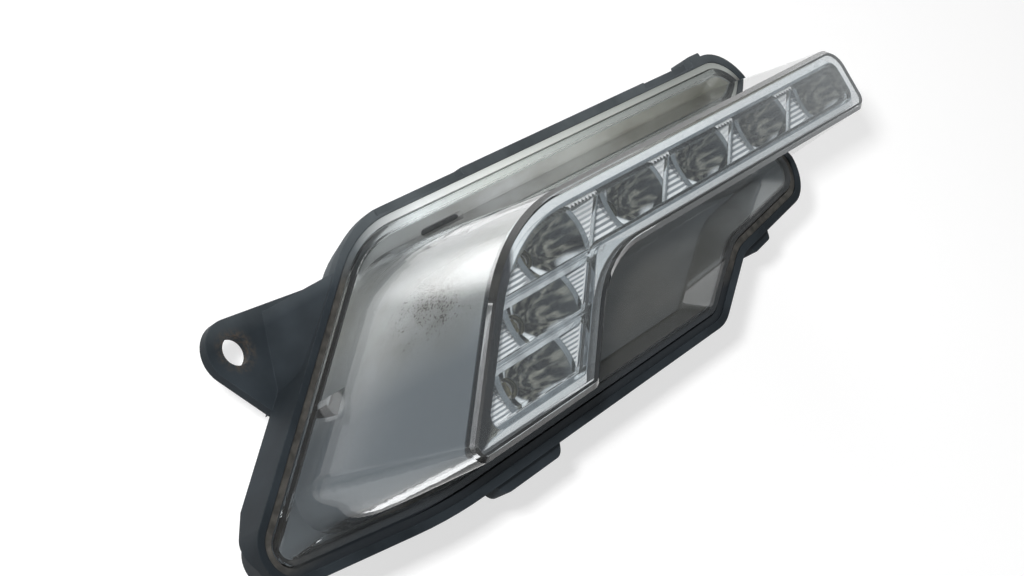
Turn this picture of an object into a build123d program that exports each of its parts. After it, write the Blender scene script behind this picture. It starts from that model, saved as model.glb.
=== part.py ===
from build123d import *
import os
from math import cos, hypot, radians, sin, tan

# Daytime running light of a car's front bumper, in millimetres.
# +X runs along the lamp to its outer end, -Y faces the road ahead and +Z is up.
# Outlines are drawn in the plane of the housing rim, Y = 0, about a point in the strip near its elbow.
# At the end each piece is moved so that the origin is the front of the fixing ear's hole.

# Least corner radius anywhere
smallest_radius = 0.3

# Housing rim, seen from the front
rim_top = 36.0
rim_bottom = -42.3
rim_right = 155.0
rim_right_foot = -21.0
rim_step_x = 103.0
rim_step_z = -27.2
rim_step_run = 27.0
rim_keel_x = -60.0
rim_toe_x = -129.4
rim_toe_z = -32.2
rim_heel_x = -39.8
heel_radius = 42.0
shoulder_radius = 18.0
hip_radius = 14.0
step_radius = 16.0
keel_radius = 180.0
toe_radius = 9.3

# Housing section, from the rim back to the floor
rim_wall = 2.0
rim_straight = 3.0
rim_taper = 2.0
top_ledge = 3.0
bottom_ledge = 2.4
right_ledge = 2.6
channel_depth = 8.0
inner_wall = 2.0
housing_wall = 2.2
skirt_depth = 12.0
skirt_end = -14.0
skirt_toe = -27.0
tub_depth = 30.0
tub_draft = 6.0

# Sealing bead in the rim channel
bead_width = 2.0
bead_gap = 0.6
bead_seat = 1.4
bead_front = 0.6

# Fixing ear on the housing's inner end
ear_x = -83.6
ear_z = 20.0
ear_front = 11.5
ear_hole = 7.6
ear_radius = 8.4
ear_root_top = 23.0
ear_root_bottom = 2.5
ear_thickness = 2.8
ear_web_foot = 5.8
ear_crease_x = -70.7
ear_crease_z = 25.6

# Locating tabs below the rim and clip pockets in its top ledge
tab_drop = 3.6
tab_front = 4.0
tab_back = 10.0
keel_tab_x = -24.0
keel_tab_length = 32.0
hip_tab_x = 119.0
hip_tab_length = 18.0
hip_tab_slope = 7.0
pocket_depth = 3.0
pocket_width = 2.2
pocket_x = (-12.5, 115.5)
pocket_length = (37.0, 29.0)
nub_x = 133.0
nub_height = 1.4
nub_length = 7.0

# Window of the L: a strip with a slanted leg under its inner end
strip_bottom = -1.5
strip_height = 13.5
strip_end = 139.0
leg_start = -75.2
leg_width = 39.2
leg_drop = 25.2
slant_angle = 42.5
elbow_radius = 58.0
crook_radius = 7.0
window_radius = 2.6
tip_radius = 3.6

# Clear outer lens
lens_height = 42.0
lens_wall = 2.0
lens_bevel = 1.4
foot_wall = 1.6
foot_clearance = 0.5
panel_recess = 3.2
panel_lip = 1.6
panel_slope = 5.0
panel_slope_inner = 1.6
panel_slope_toe = 2.5
panel_slope_step = 9.0
panel_slope_right = 14.0
panel_radius = 8.0
border_top = 4.5
border_tip = 4.2
border_sill = 4.2
border_inner = 4.4
border_bottom = 4.4
border_left = 4.7
front_radius = 3.4
front_tip_radius = 4.5
front_brow_radius = 8.0
front_crook_radius = 38.0
front_elbow_radius = 62.0
flare_top = 8.0
flare_tip = 4.0
flare_sill = 3.4
flare_inner = 3.4
hump_margin = 6.8
hump_radius = 7.0
hump_tip_radius = 9.0
hump_toe_radius = 9.0
hump_elbow_radius = 40.0
lug_length = 9.0
lug_width = 5.0
lug_height = 4.0
lug_corner = 2.2
lug_z = -3.2

# Inner bezel behind the lens
lens_gap = 0.4
bezel_wall = 1.0
bezel_clearance = 0.3
bezel_bevel = 2.0
bezel_land = 0.3
clip_slot_x = -7.2
clip_slot_z = 25.0
clip_slot_length = 18.0
clip_slot_width = 2.4
clip_slot_corner = 1.1

# Metallised reflector with one bowl in each cell
cell_pitch = 35.6
first_divider = -1.0
divider_width = 2.2
row_pitch = 12.2
rib_width = 2.8
rib_groove = 0.5
rib_groove_depth = 0.5
cell_bevel = 0.4
cell_brow = 1.2
cell_bevel_depth = 0.8
reflector_lip = 0.4
cell_inset = 0.5
bowl_diameter = 25.0
bowl_depth = 11.5
bowl_offset = 2.6
bowl_lip = 1.6
bowl_floor = 2.2
led_window = 5.4
flute_count = 9
flute_height = 0.55
flute_edge_depth = 0.8
flute_slope = 24.0
fan_edge_depth = 2.4
fan_slope = 10.0
tooth_pitch = 1.6
tooth_depth = 0.7
tooth_fall = 1.2
tooth_band_top = 1.5
tooth_band_sill = 0.9
tooth_band_left = 0.7

# Light-emitting diodes on their board, the thermal pad and the heat sink
board_inset = 0.4
board_thickness = 1.6
led_size = 3.6
led_thickness = 0.9
led_dome = 1.4
pad_inset = 0.6
pad_thickness = 0.5
sink_plate = 3.0
fin_thickness = 1.6
fin_pitch = 8.75
fin_depth = 11.0
fin_inset = 1.5
sink_leg_diameter = 8.0
sink_leg_cells = (3, 5, 6)
sink_toe_drop = 18.5
sink_toe_x = -52.0

# Screws, given by shank, head and length
sink_screw = 3.6
sink_screw_head = 8.0
sink_screw_head_height = 2.6
sink_screw_bite = 11.0
screw_seal_thickness = 1.2
screw_seal_diameter = 7.6
small_screw = 2.4
small_screw_head = 4.6
small_screw_head_height = 1.6
small_screw_bite = 5.0
small_screw_access = 0.5
head_taper = 0.9
leg_screw_inset = 6.0
hex_ratio = 0.5
screw_clearance = 0.2

# Driver board on the housing floor
driver_x = 30.0
driver_z = -14.5
driver_length = 72.0
driver_width = 25.0
driver_thickness = 1.6
driver_corner = 1.5
standoff_height = 6.0
standoff_diameter = 5.6
driver_screw_inset = 4.0
driver_screw_gap = 0.6
choke_diameter = 10.0
choke_height = 6.0
choke_cheek = 1.2
choke_winding = 8.0
choke_dx = 7.5
capacitor_diameter = 6.3
capacitor_height = 6.6
capacitor_dx = (16.0, 22.6)
chip_size = 7.0
chip_height = 1.5
chip_dx = -25.0
header_length = 9.0
header_width = 5.0
header_height = 5.5
header_wall = 1.0
header_floor = 1.5
header_dx = 31.0

# Connector socket through the floor
socket_x = 20.0
socket_length = 25.0
socket_width = 13.0
socket_wall = 1.8
socket_depth = 15.0
socket_flange = 3.2
socket_flange_thickness = 2.0
socket_web = 2.6
socket_clearance = 0.2
socket_corner = 2.4
seal_thickness = 1.0
seal_band = 2.4
pin_count = 4
pin_pitch = 4.2
pin_width = 1.5
pin_thickness = 0.8
pin_reach = 9.0
pin_clearance = 0.05

# Breather on the floor
vent_x = 104.0
vent_z = 5.0
vent_bore = 5.0
vent_wall = 2.0
vent_height = 5.0
membrane_thickness = 0.4
membrane_diameter = 8.2
cap_wall = 1.6
cap_clearance = 0.1
cap_slot = 3.0


# Outline helpers: a corner is (x, z, radius) and outlines run anticlockwise seen from the front

def edge_line(corners, index, distance):
    x0, z0, _ = corners[index]
    x1, z1, _ = corners[(index + 1) % len(corners)]
    length = hypot(x1 - x0, z1 - z0)
    dx, dz = (x1 - x0) / length, (z1 - z0) / length
    return x0 - dz * distance, z0 + dx * distance, dx, dz


def meet(first, second):
    x0, z0, dx0, dz0 = first
    x1, z1, dx1, dz1 = second
    cross = dx0 * dz1 - dz0 * dx1
    step = ((x1 - x0) * dz1 - (z1 - z0) * dx1) / cross
    return x0 + dx0 * step, z0 + dz0 * step


def inset(corners, distances):
    count = len(corners)
    if not isinstance(distances, (list, tuple)):
        distances = [distances] * count
    lines = [edge_line(corners, i, distances[i]) for i in range(count)]
    moved = []
    for i in range(count):
        before, after = lines[i - 1], lines[i]
        turn = before[2] * after[3] - before[3] * after[2]
        shift = (distances[i - 1] + distances[i]) / 2
        radius = corners[i][2] - shift if turn > 0 else corners[i][2] + shift
        moved.append((*meet(before, after), max(radius, smallest_radius)))
    return moved


def front_plane(y):
    return Plane(origin=(0, y, 0), x_dir=(1, 0, 0), z_dir=(0, -1, 0))


def outline_face(corners, y):
    points = [(x, z) for x, z, _ in corners]
    radii = [radius for _, _, radius in corners]
    return front_plane(y) * make_face(FilletPolyline(*points, radius=radii, close=True))


def slab(corners, front, back):
    return extrude(outline_face(corners, back), back - front)


def ring(outer, inner, front, back):
    return slab(outer, front, back) - slab(inner, front, back)


def block(x0, x1, z0, z1, front, back):
    middle = ((x0 + x1) / 2, (front + back) / 2, (z0 + z1) / 2)
    return Pos(*middle) * Box(x1 - x0, back - front, z1 - z0)


def rod(x, z, diameter, front, back, tip_diameter=None):
    tip = diameter if tip_diameter is None else tip_diameter
    base = front_plane(back) * Pos(x, z) * Circle(diameter / 2)
    if tip == diameter:
        return extrude(base, back - front)
    return loft([base, front_plane(front) * Pos(x, z) * Circle(tip / 2)])


def rounded_bar(x, z, length, width, corner, front, back):
    return extrude(front_plane(back) * Pos(x, z) * RectangleRounded(length, width, corner), back - front)


slant = 1 / tan(radians(slant_angle))
strip_top = strip_bottom + strip_height
strip_mid = strip_bottom + strip_height / 2
leg_bottom = strip_bottom - leg_drop

# Levels along Y, worked out from the sections
foot_back = channel_depth - bead_seat
flange_back = channel_depth + housing_wall
floor_inside = tub_depth - housing_wall
bezel_front = panel_recess + lens_wall + lens_gap
bezel_back = bezel_front + bezel_wall
lens_front = -lens_height
bezel_face = lens_front + lens_wall + lens_gap
reflector_front = bezel_face + bezel_bevel
reflector_back = reflector_front + bowl_depth + bowl_floor
board_back = reflector_back + board_thickness
pad_back = board_back + pad_thickness
sink_back = pad_back + sink_plate
ear_back = ear_front + ear_thickness

# Outlines, from the rim inwards
rim = [
    (rim_toe_x, rim_toe_z, toe_radius),
    (rim_keel_x, rim_bottom, keel_radius),
    (rim_step_x - rim_step_run, rim_bottom, step_radius),
    (rim_step_x, rim_step_z, step_radius),
    (rim_right, rim_right_foot, hip_radius),
    (rim_right, rim_top, shoulder_radius),
    (rim_heel_x, rim_top, heel_radius),
]
rim_ledges = [bottom_ledge, bottom_ledge, right_ledge, right_ledge, right_ledge, top_ledge, rim_wall]
channel = inset(rim, rim_ledges)
bead_inner = inset(channel, bead_width)
lens_edge = inset(channel, bead_width + bead_gap)
foot_inner = inset(lens_edge, foot_wall)
wall_outer = inset(lens_edge, foot_wall + foot_clearance)
wall_inner = inset(wall_outer, inner_wall)
tub_outer = inset(wall_inner, -housing_wall)
panel_slopes = [
    panel_slope_toe, panel_slope, panel_slope_step, panel_slope_step,
    panel_slope_right, panel_slope, panel_slope_inner,
]
panel_edge = inset(lens_edge, panel_lip)
panel_floor = [
    (x, z, max(radius, panel_radius))
    for x, z, radius in inset(panel_edge, panel_slopes)
]

window = [
    (leg_start, leg_bottom, window_radius),
    (leg_start + leg_width, leg_bottom, window_radius),
    (leg_start + leg_width + leg_drop * slant, strip_bottom, crook_radius),
    (strip_end, strip_bottom, tip_radius),
    (strip_end, strip_top, tip_radius),
    (leg_start + (leg_drop + strip_height) * slant, strip_top, elbow_radius),
]
borders = [border_bottom, border_inner, border_sill, border_tip, border_top, border_left]
front_radii = [front_radius] * len(window)
front_radii[2] = front_crook_radius
front_radii[3:5] = [front_tip_radius, front_brow_radius]
front_radii[5] = front_elbow_radius
grown_window = inset(window, [-border for border in borders])
hump_front = [(x, z, radius) for (x, z, _), radius in zip(grown_window, front_radii)]


def hump_base_outline():
    left = edge_line(rim, 6, hump_margin)
    toe = edge_line(rim, 0, hump_margin)
    keel = edge_line(rim, 1, hump_margin)
    inner = edge_line(hump_front, 1, -flare_inner)
    sill = edge_line(hump_front, 2, -flare_sill)
    tip = edge_line(hump_front, 3, -flare_tip)
    top = edge_line(hump_front, 4, -flare_top)
    return [
        (*meet(left, toe), hump_toe_radius),
        (*meet(keel, inner), hump_radius),
        (*meet(inner, sill), front_crook_radius),
        (*meet(sill, tip), hump_tip_radius),
        (*meet(tip, top), hump_tip_radius),
        (*meet(top, left), hump_elbow_radius),
    ]


hump_base = hump_base_outline()


# The L-shaped hump, its walls moved in by a wall thickness
def hump(distance, front, back):
    base = outline_face(inset(hump_base, distance), back)
    return loft([base, outline_face(inset(hump_front, distance), front)], ruled=True)


# Cells of the reflector: three rows in the leg, then the cells along the strip
def cell_corners(x0, x1, z0, z1, z_mid):
    def corner(x, z):
        return x + (z - z_mid) * slant, z, smallest_radius
    return [corner(x0, z0), corner(x1, z0), corner(x1, z1), corner(x0, z1)]


def lay_out_cells():
    rib = rib_width / 2
    gap = divider_width / 2
    levels = [leg_bottom, leg_bottom + row_pitch, leg_bottom + 2 * row_pitch, strip_top]
    laid = []
    for row in range(3):
        z0, z1 = levels[row] + rib, levels[row + 1] - rib
        z_mid = (z0 + z1) / 2
        x0 = leg_start + (z_mid - leg_bottom) * slant
        x1 = first_divider - gap if row == 2 else x0 + leg_width
        laid.append((x0, x1, z0, z1, z_mid))
    x0 = first_divider + gap
    while x0 + cell_pitch / 2 < strip_end:
        last = x0 + 1.5 * cell_pitch > strip_end
        x1 = strip_end + strip_height if last else x0 + cell_pitch - divider_width
        laid.append((x0, x1, strip_bottom, strip_top, strip_mid))
        x0 += cell_pitch
    return laid


cells = lay_out_cells()


def bowl_centre(cell):
    x0, x1, z0, z1, z_mid = cell
    return min((x0 + x1) / 2, x0 + cell_pitch / 2) + bowl_offset, z_mid


bowls = [bowl_centre(cell) for cell in cells]
leg_top = strip_top - tooth_band_top
leg_field = [
    (leg_start, leg_bottom, smallest_radius),
    (leg_start + leg_width, leg_bottom, smallest_radius),
    (first_divider + (leg_top - strip_mid) * slant, leg_top, smallest_radius),
    (leg_start + (leg_top - leg_bottom) * slant, leg_top, smallest_radius),
]
reflector_edge = inset(window, -reflector_lip)
board_edge = inset(reflector_edge, board_inset)
sink_legs = [bowls[i] for i in sink_leg_cells] + [(sink_toe_x, strip_bottom - sink_toe_drop)]
divider_screws = [
    (first_divider + cell_pitch * i, strip_mid)
    for i in range(1, len(cells) - 3)
]
leg_rib_z = leg_bottom + row_pitch
leg_screw = (leg_start + row_pitch * slant + leg_screw_inset, leg_rib_z)
small_screws = divider_screws + [leg_screw]
post_dx = driver_length / 2 - driver_screw_inset
post_dz = driver_width / 2 - driver_screw_inset
driver_posts = [
    (driver_x - post_dx, driver_z + post_dz),
    (driver_x + post_dx, driver_z + post_dz),
    (driver_x + post_dx, driver_z - post_dz),
]


# Rear housing: rim with its channel, skirt, tapered tub, ear, tabs and pockets

def level(z):
    return 0, z, 1, 0


def tapered(corners, front, back):
    drawn = rim_taper * (back - rim_straight) / (flange_back - rim_straight)
    faces = [outline_face(inset(corners, drawn), back), outline_face(corners, rim_straight)]
    return slab(corners, front, rim_straight) + loft(faces, ruled=True)


def ear_plate():
    circles = [Pos(ear_x, ear_z) * Circle(ear_radius)]
    for line in (edge_line(rim, 6, rim_wall), edge_line(tub_outer, 6, rim_wall)):
        for z in (ear_root_bottom, ear_root_top):
            circles.append(Pos(*meet(line, level(z))) * Circle(rim_wall))
    edges = [edge for circle in circles for edge in circle.edges()]
    return extrude(front_plane(ear_back) * make_hull(edges), ear_back - ear_front)


# The web rises from a crease on the ear to the rim
def ear_web():
    outer = edge_line(rim, 6, smallest_radius)
    inner = edge_line(rim, 6, rim_wall)
    foot, head = (meet(outer, level(z)) for z in (ear_web_foot, ear_crease_z))
    foot_in, head_in = (meet(inner, level(z)) for z in (ear_web_foot, ear_crease_z))

    def section(y, corner):
        return front_plane(y) * make_face(Polyline(foot, foot_in, head_in, corner, close=True))

    return loft([section(ear_front, (ear_crease_x, ear_crease_z)), section(bead_front, head)], ruled=True)


# The skirt runs on behind the rim, deepest at the ear and fading out towards the toe
def skirt():
    side = [
        (rim_straight, skirt_toe),
        (skirt_depth, skirt_end),
        (skirt_depth, ear_root_bottom),
        (ear_back, ear_root_bottom),
        (ear_back, ear_root_top),
        (rim_straight, ear_root_top),
    ]
    face = make_face(Polyline(*[(rim_toe_x, y, z) for y, z in side], close=True))
    reach = extrude(face, rim_keel_x - rim_toe_x, dir=(1, 0, 0))
    return ring(rim, inset(rim, rim_wall), rim_straight, ear_back) & reach


def rear_housing():
    body = tapered(rim, 0, flange_back) + skirt()
    tub_back = inset(tub_outer, tub_draft)
    body += loft([outline_face(tub_back, tub_depth), outline_face(tub_outer, flange_back)], ruled=True)
    cavity = loft(
        [outline_face(inset(tub_back, housing_wall), floor_inside), outline_face(wall_inner, flange_back)],
        ruled=True,
    )
    body += ear_plate() + ear_web()
    body += keel_tab() + hip_tab() + top_nub()
    body -= cavity + slab(wall_inner, 0, flange_back)
    body -= tapered(channel, 0, channel_depth) - slab(wall_outer, bezel_back, channel_depth)
    for x, length in zip(pocket_x, pocket_length):
        z1 = rim_top + nub_height
        body -= block(x - length / 2, x + length / 2, rim_top - pocket_width, z1, 0, pocket_depth)
    for x, z in driver_posts:
        body += rod(x, z, standoff_diameter, floor_inside - standoff_height, floor_inside)
    body += rod(vent_x, vent_z, vent_bore + 2 * vent_wall, floor_inside, tub_depth + vent_height)
    body -= rod(vent_x, vent_z, vent_bore, floor_inside, tub_depth + vent_height)
    hole = socket_clearance
    body -= rounded_bar(
        socket_x, driver_z, socket_length + 2 * hole, socket_width + 2 * hole, socket_corner + hole,
        floor_inside, tub_depth,
    )
    for x, z in sink_legs:
        body -= rod(x, z, sink_screw + 2 * screw_clearance, floor_inside, tub_depth)
    for x, z in driver_posts:
        body -= rod(x, z, small_screw, floor_inside - standoff_height, floor_inside - smallest_radius)
    body -= rod(ear_x, ear_z, ear_hole, ear_front, ear_back)
    return body


def keel_tab():
    half = keel_tab_length / 2
    top = rim_bottom + bottom_ledge
    corners = [
        (keel_tab_x - half, top, 0),
        (keel_tab_x - half + tab_drop, rim_bottom - tab_drop, tab_drop),
        (keel_tab_x + half - tab_drop, rim_bottom - tab_drop, tab_drop),
        (keel_tab_x + half, top, 0),
    ]
    return slab(corners, tab_front, tab_back)


def hip_tab():
    half = hip_tab_length / 2
    x0, z0, dx, dz = edge_line(rim, 3, 0)
    step = (hip_tab_x - x0) / dx
    middle = (hip_tab_x, z0 + step * dz)
    plane = front_plane(tab_back) * Pos(*middle) * Rot(0, 0, hip_tab_slope)
    shape = [
        (-half, right_ledge),
        (-half + tab_drop, -tab_drop),
        (half - tab_drop, -tab_drop),
        (half, right_ledge),
    ]
    radii = [0, tab_drop / 2, tab_drop / 2, 0]
    return extrude(plane * make_face(FilletPolyline(*shape, radius=radii, close=True)), tab_back - tab_front)


def top_nub():
    half = nub_length / 2
    corners = [
        (nub_x - half, rim_top - rim_wall, 0),
        (nub_x + half, rim_top - rim_wall, 0),
        (nub_x + half, rim_top + nub_height, nub_height / 2),
        (nub_x - half, rim_top + nub_height, nub_height / 2),
    ]
    return slab(corners, 0, channel_depth)


# Sealing bead: a seat across the channel floor and the lip squeezed up beside the rim
def sealing_bead():
    body = tapered(channel, bead_front, channel_depth) - slab(bead_inner, bead_front, foot_back)
    return body - slab(wall_outer, foot_back, channel_depth)


# Clear outer lens: recessed panel, hollow hump and a foot in the channel

def lens_lug():
    left = edge_line(rim, 6, rim_ledges[6] + bead_width)
    x, z = meet(left, (0, lug_z, 1, 0))
    bar = RectangleRounded(lug_length, lug_width, lug_corner)
    return extrude(front_plane(lens_wall) * Pos(x + lug_length, z) * bar, lens_wall + lug_height)


# The recess in front of the panel, moved back by a distance
def recess(distance):
    floor = outline_face(panel_floor, panel_recess + distance)
    return loft([floor, outline_face(panel_edge, distance)], ruled=True)


def outer_lens():
    body = slab(lens_edge, 0, foot_back) - recess(0)
    shoulder = lens_front + lens_bevel
    body += hump(0, shoulder, panel_recess)
    body += loft(
        [outline_face(hump_front, shoulder), outline_face(inset(hump_front, lens_bevel), lens_front)],
        ruled=True,
    )
    body += lens_lug()
    body -= slab(foot_inner, lens_wall, foot_back) - recess(lens_wall)
    body -= hump(lens_wall, lens_front + lens_wall, panel_recess + lens_wall)
    return body


# Inner bezel: tray under the panel, thin hump with a bevelled frame and the L-shaped window
def inner_bezel():
    tray_edge = inset(lens_edge, foot_wall + bezel_clearance)
    outside = lens_wall + lens_gap
    body = slab(tray_edge, outside, bezel_back) - recess(outside)
    clip_slot = clip_slot_x, clip_slot_z, clip_slot_length, clip_slot_width, clip_slot_corner
    body -= rounded_bar(*clip_slot, outside, bezel_back)
    base, front = inset(hump_base, outside), inset(hump_front, outside)
    share = bezel_bevel / (bezel_back - bezel_face)
    shoulder = [
        tuple(a + (b - a) * share for a, b in zip(near, far))
        for near, far in zip(front, base)
    ]
    shoulder_face = outline_face(shoulder, bezel_face + bezel_bevel)
    body += loft([outline_face(base, bezel_back), shoulder_face], ruled=True)
    body += loft([shoulder_face, outline_face(inset(window, -bezel_land), bezel_face)], ruled=True)
    body -= hump(outside + bezel_wall, reflector_front, bezel_back)
    return body - slab(window, bezel_face, reflector_front)


# Reflector: a bowl and two fluted ramps in every cell

def bowl_cut(x, z):
    apex = reflector_front + bowl_depth
    radius = bowl_diameter / 2
    profile = Bezier((0, 0), (radius / 2, 0), (radius, -bowl_depth))
    edges = profile + Polyline((radius, -bowl_depth), (0, -bowl_depth), (0, 0))
    plane = Plane(origin=(x, apex, z), x_dir=(1, 0, 0), z_dir=(0, 0, 1))
    return revolve(plane * make_face(edges), Axis((x, apex, z), (0, 1, 0)))


# Flutes across a cell, drawn at one end of it and run along X by a step that also leads in or out
def flute_ramp(x_edge, z0, z1, z_mid, edge_depth, run):
    pitch = (z1 - z0) / flute_count
    depth = reflector_front + edge_depth
    points = []
    for i in range(flute_count):
        points.append((z0 + i * pitch, depth))
        points.append((z0 + (i + 0.5) * pitch, depth + flute_height))
    points.append((z1, depth))
    points.append((z1, reflector_front - bowl_depth))
    points.append((z0, reflector_front - bowl_depth))
    placed = [(x_edge + (z - z_mid) * slant, y, z) for z, y in points]
    section = make_face(Polyline(*placed, close=True))
    return extrude(section, bowl_diameter, dir=run)


# Upright teeth along the top, the elbow and the sill of the strip; those along the top lean back
def tooth_rows(opening, field):
    ahead = reflector_front - tooth_fall
    points = [(leg_start, ahead), (strip_end, ahead)]
    x = strip_end
    while x > leg_start:
        points.append((x, reflector_front + tooth_depth))
        points.append((x - tooth_pitch / 2, reflector_front))
        x -= tooth_pitch
    section = make_face(Polyline(*[(x, y, strip_bottom) for x, y in points], close=True))
    upright = extrude(section, strip_height, dir=(0, 0, 1))
    brow = strip_top - cell_inset - tooth_band_top
    reach = hypot(tooth_fall, tooth_band_top)
    lean = extrude(Pos(0, 0, brow - strip_bottom) * section, reach, dir=(0, tooth_fall, tooth_band_top))
    return ((upright + lean) & opening) - field


def reflector():
    body = slab(reflector_edge, reflector_front, reflector_back)
    margins = [0, 0, tooth_band_sill, 0, tooth_band_top, tooth_band_left]
    opening = slab(inset(window, cell_inset), reflector_front, reflector_back)
    field = slab(inset(window, [cell_inset + band for band in margins]), reflector_front, reflector_back)
    body -= tooth_rows(opening, field)
    fan_run = (cos(radians(fan_slope)), -sin(radians(fan_slope)), 0)
    flute_run = (-cos(radians(flute_slope)), sin(radians(flute_slope)), 0)
    for cell, (x, z) in zip(cells, bowls):
        x0, x1, z0, z1, z_mid = cell
        x_right = min(x1, x + bowl_diameter)
        corners = cell_corners(*cell)
        wide = inset(corners, [-cell_bevel, -cell_bevel, -cell_brow, -cell_bevel])
        deep = reflector_front + cell_bevel_depth
        body -= loft([outline_face(corners, deep), outline_face(wide, reflector_front)], ruled=True) & field
        prism = slab(corners, reflector_front, reflector_front + bowl_depth) & field
        keep = rod(x, z, bowl_diameter + 2 * bowl_lip, reflector_front, reflector_back)
        left = block(x0 - strip_height, x, z0, z1, reflector_front, reflector_back)
        right = block(x, x1 + strip_height, z0, z1, reflector_front, reflector_back)
        body -= (flute_ramp(x0, z0, z1, z_mid, fan_edge_depth, fan_run) & left & prism) - keep
        body -= (flute_ramp(x_right, z0, z1, z_mid, flute_edge_depth, flute_run) & right & prism) - keep
        body -= bowl_cut(x, z) & prism
        body -= rod(x, z, led_window, reflector_front, reflector_back)
    for row in (1, 2):
        z = leg_bottom + row * row_pitch + (cell_brow - cell_bevel) / 2
        deep = reflector_front + rib_groove_depth
        groove = block(leg_start, strip_end, z - rib_groove / 2, z + rib_groove / 2, reflector_front, deep)
        body -= groove & field & slab(leg_field, reflector_front, deep)
    for x, z in small_screws:
        body -= rod(x, z, small_screw, reflector_back - small_screw_bite, reflector_back)
    return body


# Board, diodes, thermal pad and the cast heat sink

def plate_with_holes(corners, front, back):
    body = slab(corners, front, back)
    for x, z in small_screws:
        body -= rod(x, z, small_screw + 2 * screw_clearance, front, back)
    return body


def led(x, z):
    base = reflector_back - led_thickness
    half = led_size / 2
    body = block(x - half, x + half, z - half, z + half, base, reflector_back)
    dome = Pos(x, base, z) * Sphere(led_dome)
    return body + (dome & block(x - half, x + half, z - half, z + half, base - led_dome, base))


def heat_sink():
    body = plate_with_holes(board_edge, pad_back, sink_back)
    fin_area = slab(inset(board_edge, fin_inset), sink_back, sink_back + fin_depth)
    half = fin_thickness / 2
    x = leg_start + fin_pitch
    while x < strip_end:
        fin = block(x - half, x + half, leg_bottom, strip_top, sink_back, sink_back + fin_depth)
        body += fin & fin_area
        x += fin_pitch
    for x, z in small_screws:
        body -= rod(x, z, small_screw_head + 2 * small_screw_access, sink_back, sink_back + fin_depth)
    for x, z in sink_legs:
        body += rod(x, z, sink_leg_diameter, sink_back, floor_inside)
        body -= rod(x, z, sink_screw, floor_inside - sink_screw_bite, floor_inside)
    return body


# A pan-head screw whose head stands behind the seat and whose shank runs forwards from it
def screw(x, z, shank, head, head_height, seat, length):
    body = rod(x, z, shank, seat - length, seat)
    body += rod(x, z, head, seat, seat + head_height, head * head_taper)
    socket = RegularPolygon(head * hex_ratio / 2, 6)
    return body - extrude(front_plane(seat + head_height) * Pos(x, z) * socket, head_height / 2)


def heat_sink_screws():
    seat = tub_depth + screw_seal_thickness
    length = sink_screw_bite + housing_wall
    return [
        screw(x, z, sink_screw, sink_screw_head, sink_screw_head_height, seat, length)
        for x, z in sink_legs
    ]


def screw_seals():
    back = tub_depth + screw_seal_thickness
    return [
        rod(x, z, screw_seal_diameter, tub_depth, back) - rod(x, z, sink_screw, tub_depth, back)
        for x, z in sink_legs
    ]


def reflector_screws():
    length = sink_back - reflector_back + small_screw_bite
    return [
        screw(x, z, small_screw, small_screw_head, small_screw_head_height, sink_back, length)
        for x, z in small_screws
    ]


# Driver board with its parts

driver_back = floor_inside - standoff_height
driver_front = driver_back - driver_thickness


def pin_places():
    return [(socket_x + (i - (pin_count - 1) / 2) * pin_pitch, driver_z) for i in range(pin_count)]


def driver_board():
    size = driver_length, driver_width, driver_corner
    body = rounded_bar(driver_x, driver_z, *size, driver_front, driver_back)
    for x, z in driver_posts:
        body -= rod(x, z, small_screw + 2 * screw_clearance, driver_front, driver_back)
    for x, z in pin_places():
        body -= pin_block(x, z, driver_front, driver_back, pin_clearance)
    return body


def pin_block(x, z, front, back, grow):
    half_x, half_z = pin_width / 2 + grow, pin_thickness / 2 + grow
    return block(x - half_x, x + half_x, z - half_z, z + half_z, front, back)


def driver_screws():
    bodies = []
    for x, z in driver_posts:
        top = driver_front - small_screw_head_height
        shank = rod(x, z, small_screw, driver_front, floor_inside - driver_screw_gap)
        head = rod(x, z, small_screw_head, top, driver_front, small_screw_head * head_taper)
        socket = RegularPolygon(small_screw_head * hex_ratio / 2, 6)
        cut = extrude(front_plane(top) * Pos(x, z) * socket, -small_screw_head_height / 2)
        bodies.append(shank + head - cut)
    return bodies


def driver_choke():
    x, z = driver_x + choke_dx, driver_z
    front = driver_front - choke_height
    core = rod(x, z, choke_diameter, front, driver_front)
    groove = rod(x, z, choke_diameter, front + choke_cheek, driver_front - choke_cheek)
    return core - (groove - rod(x, z, choke_winding, front, driver_front))


def driver_capacitors():
    return [
        rod(driver_x + dx, driver_z, capacitor_diameter, driver_front - capacitor_height, driver_front)
        for dx in capacitor_dx
    ]


def driver_chip():
    x, half = driver_x + chip_dx, chip_size / 2
    front = driver_front - chip_height
    return block(x - half, x + half, driver_z - half, driver_z + half, front, driver_front)


def driver_header():
    x = driver_x + header_dx
    half_x, half_z = header_length / 2, header_width / 2
    front = driver_front - header_height
    body = block(x - half_x, x + half_x, driver_z - half_z, driver_z + half_z, front, driver_front)
    half_x -= header_wall
    half_z -= header_wall
    floor = driver_front - header_floor
    return body - block(x - half_x, x + half_x, driver_z - half_z, driver_z + half_z, front, floor)


# Connector socket, its seal and pins

def connector_socket():
    flange_rear = floor_inside - seal_thickness
    flange_front = flange_rear - socket_flange_thickness
    grow = 2 * socket_flange
    body = rounded_bar(
        socket_x, driver_z, socket_length + grow, socket_width + grow, socket_corner,
        flange_front, flange_rear,
    )
    mouth = tub_depth + socket_depth
    body += rounded_bar(socket_x, driver_z, socket_length, socket_width, socket_corner, flange_front, mouth)
    hollow = 2 * socket_wall
    body -= rounded_bar(
        socket_x, driver_z, socket_length - hollow, socket_width - hollow, socket_corner - socket_wall,
        flange_front + socket_web, mouth,
    )
    for x, z in pin_places():
        body -= pin_block(x, z, flange_front, flange_front + socket_web, pin_clearance)
    return body


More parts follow.
